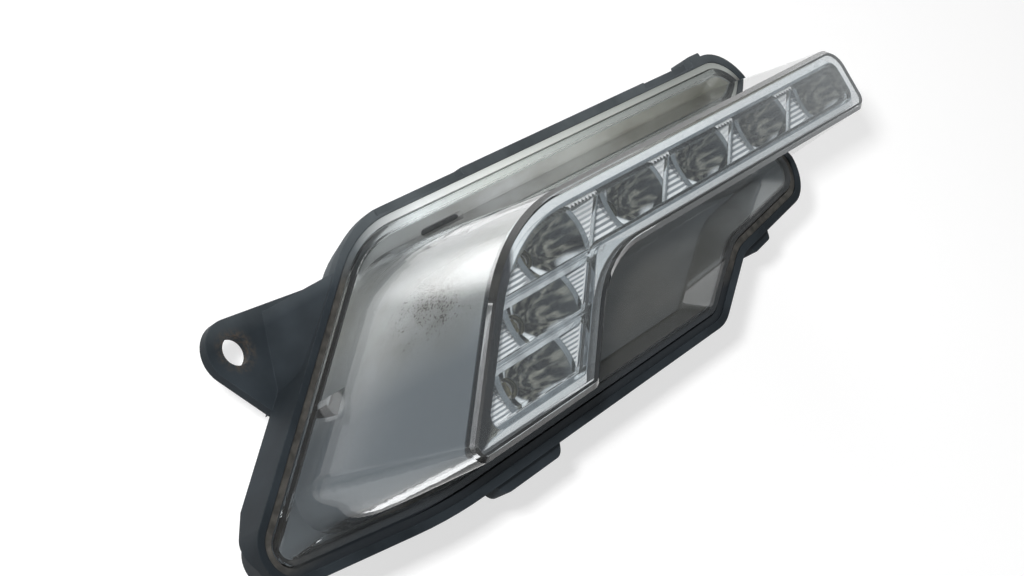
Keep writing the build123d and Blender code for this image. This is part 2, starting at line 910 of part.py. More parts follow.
def connector_seal():
    front = floor_inside - seal_thickness
    grow = 2 * seal_band
    outer = rounded_bar(
        socket_x, driver_z, socket_length + grow, socket_width + grow, socket_corner, front, floor_inside,
    )
    hole = 2 * socket_clearance
    return outer - rounded_bar(
        socket_x, driver_z, socket_length + hole, socket_width + hole, socket_corner, front, floor_inside,
    )


def contact_pins():
    back = floor_inside + pin_reach
    return [pin_block(x, z, driver_front - pin_thickness, back, 0) for x, z in pin_places()]


# Breather: membrane on the spigot under a slotted rubber cap

def vent_membrane():
    spigot_end = tub_depth + vent_height
    return rod(vent_x, vent_z, membrane_diameter, spigot_end, spigot_end + membrane_thickness)


def vent_cap():
    spigot = vent_bore + 2 * vent_wall
    bore = spigot + 2 * cap_clearance
    front = tub_depth + vent_height / 4
    step = tub_depth + vent_height + membrane_thickness
    back = step + cap_slot / 2 + cap_wall
    body = rod(vent_x, vent_z, bore + 2 * cap_wall, front, back)
    body -= rod(vent_x, vent_z, bore, front, step)
    body -= rod(vent_x, vent_z, vent_bore, step, back - cap_wall)
    half = cap_slot / 2
    return body - block(vent_x - bore, vent_x + bore, vent_z - half, vent_z + half, step, back - cap_wall)


# Every piece is written with the fixing ear's hole at the origin

pieces = {
    "rear_housing": rear_housing(),
    "sealing_bead": sealing_bead(),
    "outer_lens": outer_lens(),
    "inner_bezel": inner_bezel(),
    "reflector": reflector(),
    "led_board": plate_with_holes(board_edge, reflector_back, board_back),
    "thermal_pad": plate_with_holes(inset(board_edge, pad_inset), board_back, pad_back),
    "heat_sink": heat_sink(),
    "heat_sink_screws": heat_sink_screws(),
    "screw_seals": screw_seals(),
    "reflector_screws": reflector_screws(),
    "driver_board": driver_board(),
    "driver_screws": driver_screws(),
    "driver_choke": driver_choke(),
    "driver_capacitors": driver_capacitors(),
    "driver_chip": driver_chip(),
    "driver_header": driver_header(),
    "connector_socket": connector_socket(),
    "connector_seal": connector_seal(),
    "contact_pins": contact_pins(),
    "vent_membrane": vent_membrane(),
    "vent_cap": vent_cap(),
}
for number, (x, z) in enumerate(bowls, 1):
    pieces[f"led_{number}"] = led(x, z)

home = Pos(-ear_x, -ear_front, -ear_z)
os.makedirs("parts", exist_ok=True)
for name, piece in pieces.items():
    solids = piece if isinstance(piece, list) else piece.solids()
    export_step(Compound([home * solid for solid in solids]), f"parts/{name}.step")
    print(name, len(solids))
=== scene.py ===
import bpy
from math import cos, radians, sin
from mathutils import Matrix, Vector


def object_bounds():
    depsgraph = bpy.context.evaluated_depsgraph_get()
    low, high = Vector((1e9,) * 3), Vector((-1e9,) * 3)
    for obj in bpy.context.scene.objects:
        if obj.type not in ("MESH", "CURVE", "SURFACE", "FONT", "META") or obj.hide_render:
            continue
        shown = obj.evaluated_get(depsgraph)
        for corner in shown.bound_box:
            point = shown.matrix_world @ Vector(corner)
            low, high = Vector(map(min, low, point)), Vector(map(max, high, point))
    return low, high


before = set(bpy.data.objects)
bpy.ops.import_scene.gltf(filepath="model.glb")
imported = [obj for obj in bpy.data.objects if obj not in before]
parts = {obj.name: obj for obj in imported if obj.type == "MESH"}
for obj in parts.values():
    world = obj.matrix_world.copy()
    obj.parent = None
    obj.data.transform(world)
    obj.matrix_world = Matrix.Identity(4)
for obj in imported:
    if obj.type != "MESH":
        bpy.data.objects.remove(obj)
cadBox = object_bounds()
diodes = sorted(name for name in parts if name.startswith("led_") and name != "led_board")
mm = 0.001
print("frame loaded:", len(parts), "nodes")


def hexColour(text):
    channels = [int(text[i:i + 2], 16) / 255 for i in (1, 3, 5)]
    linear = [c / 12.92 if c <= 0.04045 else ((c + 0.055) / 1.055) ** 2.4 for c in channels]
    return (*linear, 1.0)


# adds one node; settings go to attributes or sockets, links name (node, output)
def addNode(tree, kind, settings=None, links=None):
    made = tree.nodes.new(kind)
    for name, value in (settings or {}).items():
        if isinstance(name, str) and hasattr(made, name):
            setattr(made, name, value)
        else:
            made.inputs[name].default_value = value
    for name, (source, output) in (links or {}).items():
        tree.links.new(source.outputs[output], made.inputs[name])
    return made


def newMaterial(name):
    material = bpy.data.materials.new(name)
    material.use_nodes = True
    tree = material.node_tree
    tree.nodes.clear()
    return material, tree


def dress(material, *names):
    for name in names:
        slots = parts[name].data.materials
        slots.clear()
        slots.append(material)


# colour stops of a ramp, each a position and an sRGB hex
def setStops(ramp, stops):
    stops = list(stops)
    marks = ramp.color_ramp.elements
    while len(marks) < len(stops):
        marks.new(1.0)
    for mark, (position, tint) in zip(marks, stops):
        mark.position = position
        mark.color = hexColour(tint)


# where a range begins and is full
def span(ends, unit=1.0):
    return {"From Min": ends[0] * unit, "From Max": ends[1] * unit}


# how many pattern units per metre for one real size in millimetres
def perMm(size):
    return 1 / (size * mm)


# Talc-filled polypropylene, moulded in a fine-grained tool: dull blue-black, paler where edges rub
housingLook = {"deep": "#21262a", "plain": "#343a3f", "patchMm": 22.0, "patchFrom": (0.35, 0.7),
               "worn": "#4a5156", "wornMost": 0.7, "edgeMm": 0.5, "edgeMatch": (0.99, 0.8),
               "dust": "#6a7073", "dustMm": (2.0, 14.0),
               "rust": "#50463c", "rustMost": 0.7, "rustMm": (6.4, 3.9), "flakeMm": 1.3, "flakeFrom": (0.4, 0.65),
               "ior": 1.49, "specular": 0.18, "roughness": (0.58, 0.8),
               "grainMm": 0.35, "grain": 0.12, "grainDeepMm": 0.05}


def mouldedPolypropylene(look):
    material, tree = newMaterial("mouldedPolypropylene")
    place = addNode(tree, "ShaderNodeTexCoord")
    patch = addNode(tree, "ShaderNodeTexNoise", {"Scale": perMm(look["patchMm"]), "Detail": 5.0},
                    {"Vector": (place, "Object")})
    tone = addNode(tree, "ShaderNodeValToRGB", None, {"Fac": (patch, "Fac")})
    setStops(tone, zip(look["patchFrom"], (look["deep"], look["plain"])))
    rounded = addNode(tree, "ShaderNodeBevel", {"samples": 4, "Radius": look["edgeMm"] * mm})
    flat = addNode(tree, "ShaderNodeNewGeometry")
    match = addNode(tree, "ShaderNodeVectorMath", {"operation": "DOT_PRODUCT"},
                    {0: (rounded, "Normal"), 1: (flat, "Normal")})
    edge = addNode(tree, "ShaderNodeMapRange", {**span(look["edgeMatch"]), "To Max": look["wornMost"]},
                   {"Value": (match, "Value")})
    rubbed = addNode(tree, "ShaderNodeMath", {"operation": "MULTIPLY"}, {0: (edge, "Result"), 1: (patch, "Fac")})
    colour = addNode(tree, "ShaderNodeMix", {"data_type": "RGBA", 7: hexColour(look["worn"])},
                     {"Factor": (rubbed, "Value"), 6: (tone, "Color")})
    # dust along the top
    axes = addNode(tree, "ShaderNodeSeparateXYZ", None, {"Vector": (place, "Object")})
    top = addNode(tree, "ShaderNodeMapRange", span(look["dustMm"], mm), {"Value": (axes, "Z")})
    dusty = addNode(tree, "ShaderNodeMath", {"operation": "MULTIPLY"}, {0: (top, "Result"), 1: (patch, "Fac")})
    colour = addNode(tree, "ShaderNodeMix", {"data_type": "RGBA", 7: hexColour(look["dust"])},
                     {"Factor": (dusty, "Value"), 6: (colour, 2)})
    # rust from the screw's washer, in rings round the ear's hole
    flatPlace = addNode(tree, "ShaderNodeVectorMath", {"operation": "MULTIPLY", 1: (1, 0, 1)}, {0: (place, "Object")})
    away = addNode(tree, "ShaderNodeVectorMath", {"operation": "LENGTH"}, {0: (flatPlace, "Vector")})
    ring = addNode(tree, "ShaderNodeMapRange", {**span(look["rustMm"], mm), "To Max": look["rustMost"]},
                   {"Value": (away, "Value")})
    flake = addNode(tree, "ShaderNodeTexNoise", {"Scale": perMm(look["flakeMm"]), "Detail": 4.0},
                    {"Vector": (place, "Object")})
    flakes = addNode(tree, "ShaderNodeMapRange", span(look["flakeFrom"]), {"Value": (flake, "Fac")})
    rusted = addNode(tree, "ShaderNodeMath", {"operation": "MULTIPLY"}, {0: (ring, "Result"), 1: (flakes, "Result")})
    colour = addNode(tree, "ShaderNodeMix", {"data_type": "RGBA", 7: hexColour(look["rust"])},
                     {"Factor": (rusted, "Value"), 6: (colour, 2)})
    grain = addNode(tree, "ShaderNodeTexNoise", {"Scale": perMm(look["grainMm"]), "Detail": 2.0},
                    {"Vector": (place, "Object")})
    bump = addNode(tree, "ShaderNodeBump", {"Strength": look["grain"], "Distance": look["grainDeepMm"] * mm},
                   {"Height": (grain, "Fac"), "Normal": (rounded, "Normal")})
    least, most = look["roughness"]
    shine = addNode(tree, "ShaderNodeMapRange", {"To Min": least, "To Max": most}, {"Value": (patch, "Fac")})
    shader = addNode(tree, "ShaderNodeBsdfPrincipled", {"IOR": look["ior"], "Specular IOR Level": look["specular"]},
                     {"Base Color": (colour, 2), "Roughness": (shine, "Result"), "Normal": (bump, "Normal")})
    addNode(tree, "ShaderNodeOutputMaterial", None, {"Surface": (shader, "BSDF")})
    return material


# Cured sealing compound, squeezed from a gun: grey-brown, lumpy and dusty; along its top it is painted pale, a
# painted highlight to match the lit top band of the bezel
beadLook = {"dark": "#32312f", "pale": "#504e4a", "lumpMm": 2.5, "lumpFrom": (0.3, 0.7), "lump": 0.5,
            "lumpDeepMm": 0.3, "ior": 1.45, "roughness": 0.68, "topMm": (2.0, 8.0), "runMm": (-10.0, 240.0),
            "top": [(0.2, "#5f6568"), (0.31, "#f0f4f4"), (0.45, "#e6eae6"), (0.64, "#c3c7c3"), (0.84, "#a3a7a3")],
            "keel": "#23272b", "keelMm": (-48.0, -53.0)}


def gunnedSealant(look):
    material, tree = newMaterial("gunnedSealant")
    place = addNode(tree, "ShaderNodeTexCoord")
    lump = addNode(tree, "ShaderNodeTexNoise", {"Scale": perMm(look["lumpMm"]), "Detail": 4.0},
                   {"Vector": (place, "Object")})
    tone = addNode(tree, "ShaderNodeValToRGB", None, {"Fac": (lump, "Fac")})
    setStops(tone, zip(look["lumpFrom"], (look["dark"], look["pale"])))
    axes = addNode(tree, "ShaderNodeSeparateXYZ", None, {"Vector": (place, "Object")})
    top, along, keel = (
        addNode(tree, "ShaderNodeMapRange", span(look[run], mm), {"Value": (axes, axis)})
        for run, axis in (("topMm", "Z"), ("runMm", "X"), ("keelMm", "Z"))
    )
    # painted highlight: the top is painted pale, palest above the elbow
    paintedLitTop = addNode(tree, "ShaderNodeValToRGB", None, {"Fac": (along, "Result")})
    setStops(paintedLitTop, look["top"])
    topped = addNode(tree, "ShaderNodeMix", {"data_type": "RGBA"},
                     {"Factor": (top, "Result"), 6: (tone, "Color"), 7: (paintedLitTop, "Color")})
    colour = addNode(tree, "ShaderNodeMix", {"data_type": "RGBA", 7: hexColour(look["keel"])},
                     {"Factor": (keel, "Result"), 6: (topped, 2)})
    bump = addNode(tree, "ShaderNodeBump", {"Strength": look["lump"], "Distance": look["lumpDeepMm"] * mm},
                   {"Height": (lump, "Fac")})
    shader = addNode(tree, "ShaderNodeBsdfPrincipled", {"IOR": look["ior"], "Roughness": look["roughness"]},
                     {"Base Color": (colour, 2), "Normal": (bump, "Normal")})
    addNode(tree, "ShaderNodeOutputMaterial", None, {"Surface": (shader, "BSDF")})
    return material


# Clear polycarbonate, injection moulded and polished: sharp edges of light, a faint haze of fine wear
lensLook = {"clear": "#f2f4f5", "hazy": "#e4e5e6", "hazeFrom": (0.4, 1.0), "ior": 1.585, "through": 0.985,
            "wearMm": 60.0, "wearFrom": (0.35, 0.75), "roughness": (0.0, 0.03),
            "scuff": 0.14, "lugMm": (5.0, -14.0, -22.3), "lugReachMm": (4.4, 3.6), "lugFootMm": (-12.0, -12.4),
            "tipHaze": 0.09, "tipMm": (140.0, 235.0), "stripMm": (-25.0, -45.0)}


def clearPolycarbonate(look):
    material, tree = newMaterial("clearPolycarbonate")
    place = addNode(tree, "ShaderNodeTexCoord")
    wear = addNode(tree, "ShaderNodeTexNoise", {"Scale": perMm(look["wearMm"]), "Detail": 1.0},
                   {"Vector": (place, "Object")})
    least, most = look["roughness"]
    shine = addNode(tree, "ShaderNodeMapRange", {**span(look["wearFrom"]), "To Min": least, "To Max": most},
                    {"Value": (wear, "Fac")})
    tone = addNode(tree, "ShaderNodeValToRGB", None, {"Fac": (wear, "Fac")})
    setStops(tone, zip(look["hazeFrom"], (look["clear"], look["hazy"])))
    # the lug, which stands proud of the rim, is scuffed milky, and the strip's haze thickens towards its outer tip
    axes = addNode(tree, "ShaderNodeSeparateXYZ", None, {"Vector": (place, "Object")})
    spot = tuple(value * mm for value in look["lugMm"])
    away = addNode(tree, "ShaderNodeVectorMath", {"operation": "DISTANCE", 1: spot}, {0: (place, "Object")})
    near, proud, tip, strip = (
        addNode(tree, "ShaderNodeMapRange", {**span(look[run], mm), "To Max": most}, {"Value": source})
        for run, most, source in (("lugReachMm", look["scuff"], (away, "Value")), ("lugFootMm", 1.0, (axes, "Y")),
                                  ("tipMm", look["tipHaze"], (axes, "X")), ("stripMm", 1.0, (axes, "Y")))
    )
    haze = addNode(tree, "ShaderNodeMath", {"operation": "MULTIPLY"}, {0: (tip, "Result"), 1: (strip, "Result")})
    milk = addNode(tree, "ShaderNodeMath", {"operation": "MULTIPLY_ADD"},
                   {0: (near, "Result"), 1: (proud, "Result"), 2: (haze, "Value")})
    through = addNode(tree, "ShaderNodeMath", {"operation": "SUBTRACT", 0: look["through"]}, {1: (milk, "Value")})
    shader = addNode(tree, "ShaderNodeBsdfPrincipled", {"IOR": look["ior"]},
                     {"Base Color": (tone, "Color"), "Roughness": (shine, "Result"),
                      "Transmission Weight": (through, "Value")})
    addNode(tree, "ShaderNodeOutputMaterial", None, {"Surface": (shader, "BSDF")})
    return material


# Silver lacquer, sprayed on moulded plastic: satin, with a brown film of old dust. Its lower part is painted darker
# as painted shade: slate by the ear, brown in the strip's shadow below it, and a little paler at the outer end.
# The band along its top is painted light, a painted highlight that is palest above the elbow
bezelLook = {"silver": "#b9bcbb", "film": "#a09e94", "filmMm": 18.0, "filmFrom": (0.38, 0.72),
             "drawn": (0.35, 1.0, 1.0),
             "metal": 0.3, "roughness": (0.24, 0.46), "grainMm": 0.4, "grain": 0.02, "grainDeepMm": 0.03,
             "runMm": (-10.0, 240.0), "lowMm": (-12.0, -30.0), "highMm": (-3.0, 3.0),
             "foot": [(0.0, "#6f767b"), (0.25, "#6f767b"), (0.34, "#4d4a43"), (0.62, "#524e47"), (0.86, "#606465")],
             "ledge": [(0.28, "#b4b8b8"), (0.45, "#f4f6f5"), (0.6, "#e8e9e3"), (0.73, "#c2c2b7"), (0.9, "#99998c")],
             "keel": "#35342f", "keelMm": (-46.0, -53.0),
             "blotch": "#aca699", "blotchMm": 9.0, "blotchFrom": (0.4, 0.65), "blotchMost": 0.6,
             "blotchRun": (0.26, 0.36),
             "stain": "#8d8270", "dirt": "#3a3128", "dirtMm": (33.0, -33.0, -16.0), "dirtReachMm": 18.0,
             "clumpMm": 5.0, "speckMm": 0.6, "crowding": 0.5, "speckFrom": (0.74, 0.82), "speckMost": 0.9,
             "frame": "#dfe2e3", "frameMm": (-48.8, -49.3), "frameRoughness": 0.1,
             "bar": "#33343a", "barMm": (61.5, 60.0), "barSlant": 1.091}


def silverLacquer(look):
    material, tree = newMaterial("silverLacquer")
    place = addNode(tree, "ShaderNodeTexCoord")
    drawn = addNode(tree, "ShaderNodeVectorMath", {"operation": "MULTIPLY", 1: look["drawn"]}, {0: (place, "Object")})
    film = addNode(tree, "ShaderNodeTexNoise", {"Scale": perMm(look["filmMm"]), "Detail": 6.0, "Roughness": 0.62},
                   {"Vector": (drawn, "Vector")})
    tone = addNode(tree, "ShaderNodeValToRGB", None, {"Fac": (film, "Fac")})
    setStops(tone, zip(look["filmFrom"], (look["silver"], look["film"])))
    axes = addNode(tree, "ShaderNodeSeparateXYZ", None, {"Vector": (place, "Object")})
    low, keel, high, front, along = (
        addNode(tree, "ShaderNodeMapRange", span(look[run], mm), {"Value": (axes, axis)})
        for run, axis in (("lowMm", "Z"), ("keelMm", "Z"), ("highMm", "Z"), ("frameMm", "Y"), ("runMm", "X"))
    )
    # painted shade on the lower part and painted light on the top band, both set by position along the lamp
    foot, ledge = (addNode(tree, "ShaderNodeValToRGB", None, {"Fac": (along, "Result")}) for _ in range(2))
    setStops(foot, look["foot"])
    setStops(ledge, look["ledge"])
    ledged = addNode(tree, "ShaderNodeMix", {"data_type": "RGBA"},
                     {"Factor": (high, "Result"), 6: (tone, "Color"), 7: (ledge, "Color")})
    blotch = addNode(tree, "ShaderNodeTexNoise", {"Scale": perMm(look["blotchMm"]), "Detail": 6.0, "Roughness": 0.65},
                     {"Vector": (drawn, "Vector")})
    blotches = addNode(tree, "ShaderNodeMapRange", {**span(look["blotchFrom"]), "To Max": look["blotchMost"]},
                       {"Value": (blotch, "Fac")})
    strip = addNode(tree, "ShaderNodeMapRange", span(look["blotchRun"]), {"Value": (along, "Result")})
    under = addNode(tree, "ShaderNodeMath", {"operation": "MULTIPLY"},
                    {0: (blotches, "Result"), 1: (strip, "Result")})
    footed = addNode(tree, "ShaderNodeMix", {"data_type": "RGBA"},
                     {"Factor": (low, "Result"), 6: (ledged, 2), 7: (foot, "Color")})
    blotched = addNode(tree, "ShaderNodeMix",
                       {"data_type": "RGBA", "blend_type": "MULTIPLY", 7: hexColour(look["blotch"])},
                       {"Factor": (under, "Value"), 6: (footed, 2)})
    colour = addNode(tree, "ShaderNodeMix", {"data_type": "RGBA", 7: hexColour(look["keel"])},
                     {"Factor": (keel, "Result"), 6: (blotched, 2)})
    # specks of road dirt in one cloud
    spot = tuple(value * mm for value in look["dirtMm"])
    away = addNode(tree, "ShaderNodeVectorMath", {"operation": "DISTANCE", 1: spot}, {0: (place, "Object")})
    near = addNode(tree, "ShaderNodeMapRange", span((look["dirtReachMm"], 0.0), mm), {"Value": (away, "Value")})
    clump = addNode(tree, "ShaderNodeTexNoise", {"Scale": perMm(look["clumpMm"]), "Detail": 3.0},
                    {"Vector": (place, "Object")})
    crowd = addNode(tree, "ShaderNodeMath", {"operation": "MULTIPLY"}, {0: (near, "Result"), 1: (clump, "Fac")})
    stained = addNode(tree, "ShaderNodeMix",
                      {"data_type": "RGBA", "blend_type": "MULTIPLY", 7: hexColour(look["stain"])},
                      {"Factor": (crowd, "Value"), 6: (colour, 2)})
    speck = addNode(tree, "ShaderNodeTexNoise", {"Scale": perMm(look["speckMm"]), "Detail": 2.0},
                    {"Vector": (place, "Object")})
    thick = addNode(tree, "ShaderNodeMath", {"operation": "MULTIPLY_ADD", 1: look["crowding"]},
                    {0: (crowd, "Value"), 2: (speck, "Fac")})
    specks = addNode(tree, "ShaderNodeMapRange", {**span(look["speckFrom"]), "To Max": look["speckMost"]},
                     {"Value": (thick, "Value")})
    dirty = addNode(tree, "ShaderNodeMix", {"data_type": "RGBA", 7: hexColour(look["dirt"])},
                    {"Factor": (specks, "Result"), 6: (stained, 2)})
    # the frame round the cells is bright like the reflector, but for its dark bar along the leg
    lean = addNode(tree, "ShaderNodeVectorMath", {"operation": "DOT_PRODUCT", 1: (1, 0, -look["barSlant"])},
                   {0: (place, "Object")})
    left = addNode(tree, "ShaderNodeMapRange", span(look["barMm"], mm), {"Value": (lean, "Value")})
    framed = addNode(tree, "ShaderNodeMix",
                     {"data_type": "RGBA", 6: hexColour(look["frame"]), 7: hexColour(look["bar"])},
                     {"Factor": (left, "Result")})
    colour = addNode(tree, "ShaderNodeMix", {"data_type": "RGBA"},
                     {"Factor": (front, "Result"), 6: (dirty, 2), 7: (framed, 2)})
    metal = addNode(tree, "ShaderNodeMapRange", {"To Min": look["metal"]}, {"Value": (front, "Result")})
    least, most = look["roughness"]
    satin = addNode(tree, "ShaderNodeMapRange", {"To Min": least, "To Max": most}, {"Value": (film, "Fac")})
    shine = addNode(tree, "ShaderNodeMix", {3: look["frameRoughness"]},
                    {"Factor": (front, "Result"), 2: (satin, "Result")})
    grain = addNode(tree, "ShaderNodeTexNoise", {"Scale": perMm(look["grainMm"]), "Detail": 2.0},
                    {"Vector": (place, "Object")})
    bump = addNode(tree, "ShaderNodeBump", {"Strength": look["grain"], "Distance": look["grainDeepMm"] * mm},
                   {"Height": (grain, "Fac")})
    shader = addNode(tree, "ShaderNodeBsdfPrincipled", None,
                     {"Base Color": (colour, 2), "Metallic": (metal, "Result"), "Roughness": (shine, 0),
                      "Normal": (bump, "Normal")})
    addNode(tree, "ShaderNodeOutputMaterial", None, {"Surface": (shader, "BSDF")})
    return material


# Vacuum-deposited aluminium on moulded plastic: bright and slightly wavy like any metallised bowl. The fluted ramps,
# which lie outside the bowl's reach in each row and behind the ribs, are painted pale and made mostly matt, a painted
# reflection of bright light
chromeLook = {"bright": "#e6e8e9", "dull": "#c9cbcc", "roughness": 0.04, "waveMm": 6.0, "waveFrom": (0.3, 0.6),
              "wave": 0.25, "waveDeepMm": 0.2, "ridgeMm": 0.3, "flatten": 0.5,
              "bowlMm": 14.2, "rowMm": [7.0, 7.0, 8.0, 12.0, 12.0, 12.0, 12.0], "rampMm": (-48.4, -48.1),
              "rampMetal": 0.2, "ramp": "#f8fafb", "groove": "#9ca3a9", "grooveTilt": (-0.1, -0.4)}


def vacuumAluminium(look):
    material, tree = newMaterial("vacuumAluminium")
    place = addNode(tree, "ShaderNodeTexCoord")
    wave = addNode(tree, "ShaderNodeTexNoise", {"Scale": perMm(look["waveMm"]), "Detail": 1.0},
                   {"Vector": (place, "Object")})
    tone = addNode(tree, "ShaderNodeValToRGB", None, {"Fac": (wave, "Fac")})
    setStops(tone, zip(look["waveFrom"], (look["dull"], look["bright"])))
    rounded = addNode(tree, "ShaderNodeBevel", {"samples": 4, "Radius": look["ridgeMm"] * mm})
    # flutes shade as if they were shallower, so that they throw their light forward
    filled = addNode(tree, "ShaderNodeVectorMath", {"operation": "MULTIPLY", 1: (1, 1, look["flatten"])},
                     {0: (rounded, "Normal")})
    facing = addNode(tree, "ShaderNodeVectorMath", {"operation": "NORMALIZE"}, {0: (filled, "Vector")})
    bump = addNode(tree, "ShaderNodeBump", {"Strength": look["wave"], "Distance": look["waveDeepMm"] * mm},
                   {"Height": (wave, "Fac"), "Normal": (facing, "Vector")})
    # the ramps are painted pale and mostly matt, a painted reflection, and the flutes' undersides are painted darker
    # as painted shade
    axes = addNode(tree, "ShaderNodeSeparateXYZ", None, {"Vector": (place, "Object")})
    flatPlace = addNode(tree, "ShaderNodeVectorMath", {"operation": "MULTIPLY", 1: (1, 0, 1)}, {0: (place, "Object")})
    fluted = addNode(tree, "ShaderNodeMapRange", span(look["rampMm"], mm), {"Value": (axes, "Y")})
    for diode, row in zip(diodes, look["rowMm"]):
        middle = sum((Vector(corner) for corner in parts[diode].bound_box), Vector()) / 8
        away = addNode(tree, "ShaderNodeVectorMath", {"operation": "DISTANCE", 1: (middle.x, 0, middle.z)},
                       {0: (flatPlace, "Vector")})
        beyond = addNode(tree, "ShaderNodeMath", {"operation": "GREATER_THAN", 1: look["bowlMm"] * mm},
                         {0: (away, "Value")})
        level = addNode(tree, "ShaderNodeMath", {"operation": "COMPARE", 1: middle.z, 2: row * mm}, {0: (axes, "Z")})
        other = addNode(tree, "ShaderNodeMath", {"operation": "SUBTRACT", 0: 1.0}, {1: (level, "Value")})
        outside = addNode(tree, "ShaderNodeMath", {"operation": "MAXIMUM"},
                          {0: (beyond, "Value"), 1: (other, "Value")})
        fluted = addNode(tree, "ShaderNodeMath", {"operation": "MULTIPLY"}, {0: (fluted, 0), 1: (outside, "Value")})
    metal = addNode(tree, "ShaderNodeMapRange", {"To Min": 1.0, "To Max": look["rampMetal"]},
                    {"Value": (fluted, "Value")})
    flat = addNode(tree, "ShaderNodeNewGeometry")
    tilt = addNode(tree, "ShaderNodeSeparateXYZ", None, {"Vector": (flat, "Normal")})
    under = addNode(tree, "ShaderNodeMapRange", span(look["grooveTilt"]), {"Value": (tilt, "Z")})
    ramp = addNode(tree, "ShaderNodeMix",
                   {"data_type": "RGBA", 6: hexColour(look["ramp"]), 7: hexColour(look["groove"])},
                   {"Factor": (under, "Result")})
    colour = addNode(tree, "ShaderNodeMix", {"data_type": "RGBA"},
                     {"Factor": (fluted, "Value"), 6: (tone, "Color"), 7: (ramp, 2)})
    shader = addNode(tree, "ShaderNodeBsdfPrincipled", {"Roughness": look["roughness"]},
                     {"Base Color": (colour, 2), "Metallic": (metal, "Result"), "Normal": (bump, "Normal")})
    addNode(tree, "ShaderNodeOutputMaterial", None, {"Surface": (shader, "BSDF")})
    return material


# Pieces inside the case or behind it share one way of shading: two tones, one grain and one shine
smallGrain = {"toneFrom": (0.35, 0.65), "spread": (0.8, 1.2), "grain": 0.15, "grainDeepMm": 0.04}
smallLooks = {
    "castAluminium": {"one": "#8f9192", "two": "#b0b2b2", "metal": 1.0, "roughness": 0.45, "grainMm": 0.8},
    "zincPlatedSteel": {"one": "#9a9b98", "two": "#b9b9b2", "metal": 1.0, "roughness": 0.32, "grainMm": 0.6},
    "mouldedRubber": {"one": "#171718", "two": "#232425", "metal": 0.0, "roughness": 0.62, "grainMm": 0.5},
    "greenSolderMask": {"one": "#12502c", "two": "#186338", "metal": 0.0, "roughness": 0.3, "grainMm": 1.6},
    "whiteSolderMask": {"one": "#d4d4ce", "two": "#e4e4df", "metal": 0.0, "roughness": 0.35, "grainMm": 1.6},
    "sinteredFerrite": {"one": "#2a2725", "two": "#383431", "metal": 0.0, "roughness": 0.5, "grainMm": 0.4},
    "drawnAluminiumCan": {"one": "#a9abac", "two": "#c2c4c5", "metal": 1.0, "roughness": 0.25, "grainMm": 0.9},
    "mouldedEpoxy": {"one": "#191a1b", "two": "#252627", "metal": 0.0, "roughness": 0.55, "grainMm": 0.3},
    "naturalNylon": {"one": "#cfc8b4", "two": "#ddd7c6", "metal": 0.0, "roughness": 0.45, "grainMm": 0.7},
    "blackGlassNylon": {"one": "#16181a", "two": "#22262a", "metal": 0.0, "roughness": 0.5, "grainMm": 0.4},
    "tinnedBrass": {"one": "#b8b2a2", "two": "#cfcabd", "metal": 1.0, "roughness": 0.3, "grainMm": 0.5},
    "filledSilicone": {"one": "#7d8287", "two": "#8d9297", "metal": 0.0, "roughness": 0.7, "grainMm": 0.6},
    "expandedFilm": {"one": "#dcdcd8", "two": "#ecece8", "metal": 0.0, "roughness": 0.8, "grainMm": 0.3},
    "phosphorUnderDome": {"one": "#6f6b54", "two": "#858068", "metal": 0.0, "roughness": 0.12, "grainMm": 0.5},
}


def smallPart(name):
    look = smallLooks[name]
    material, tree = newMaterial(name)
    place = addNode(tree, "ShaderNodeTexCoord")
    grain = addNode(tree, "ShaderNodeTexNoise", {"Scale": perMm(look["grainMm"]), "Detail": 3.0},
                    {"Vector": (place, "Object")})
    tone = addNode(tree, "ShaderNodeValToRGB", None, {"Fac": (grain, "Fac")})
    setStops(tone, zip(smallGrain["toneFrom"], (look["one"], look["two"])))
    least, most = (look["roughness"] * share for share in smallGrain["spread"])
    shine = addNode(tree, "ShaderNodeMapRange", {"To Min": least, "To Max": most}, {"Value": (grain, "Fac")})
    bump = addNode(tree, "ShaderNodeBump",
                   {"Strength": smallGrain["grain"], "Distance": smallGrain["grainDeepMm"] * mm},
                   {"Height": (grain, "Fac")})
    shader = addNode(tree, "ShaderNodeBsdfPrincipled", {"Metallic": look["metal"]},
                     {"Base Color": (tone, "Color"), "Roughness": (shine, "Result"), "Normal": (bump, "Normal")})
    addNode(tree, "ShaderNodeOutputMaterial", None, {"Surface": (shader, "BSDF")})
    return material


dress(mouldedPolypropylene(housingLook), "rear_housing")
dress(gunnedSealant(beadLook), "sealing_bead")
dress(clearPolycarbonate(lensLook), "outer_lens")
dress(silverLacquer(bezelLook), "inner_bezel")
dress(vacuumAluminium(chromeLook), "reflector")
dress(smallPart("castAluminium"), "heat_sink")
dress(smallPart("zincPlatedSteel"), "heat_sink_screws", "reflector_screws", "driver_screws")
dress(smallPart("mouldedRubber"), "screw_seals", "connector_seal", "vent_cap")
dress(smallPart("greenSolderMask"), "driver_board")
dress(smallPart("whiteSolderMask"), "led_board")
dress(smallPart("sinteredFerrite"), "driver_choke")
dress(smallPart("drawnAluminiumCan"), "driver_capacitors")
dress(smallPart("mouldedEpoxy"), "driver_chip")
dress(smallPart("naturalNylon"), "driver_header")
dress(smallPart("blackGlassNylon"), "connector_socket")
dress(smallPart("tinnedBrass"), "contact_pins")
dress(smallPart("filledSilicone"), "thermal_pad")
dress(smallPart("expandedFilm"), "vent_membrane")
dress(smallPart("phosphorUnderDome"), *diodes)
parts["outer_lens"].visible_shadow = False  # lamps shine through the clear lens
print("materials done")


# The lamp lies on its back, as photographed, so the floor is behind it. For the eye and in reflections the floor
# glows a little, so that it stays white and keeps the shadow; it isn't seen from its own back and fades out above
floorLook = {"halfSize": 1.6, "fade": (0.1, 0.17), "gapMm": 0.2, "paint": "#c8c8c8", "lift": 0.5}


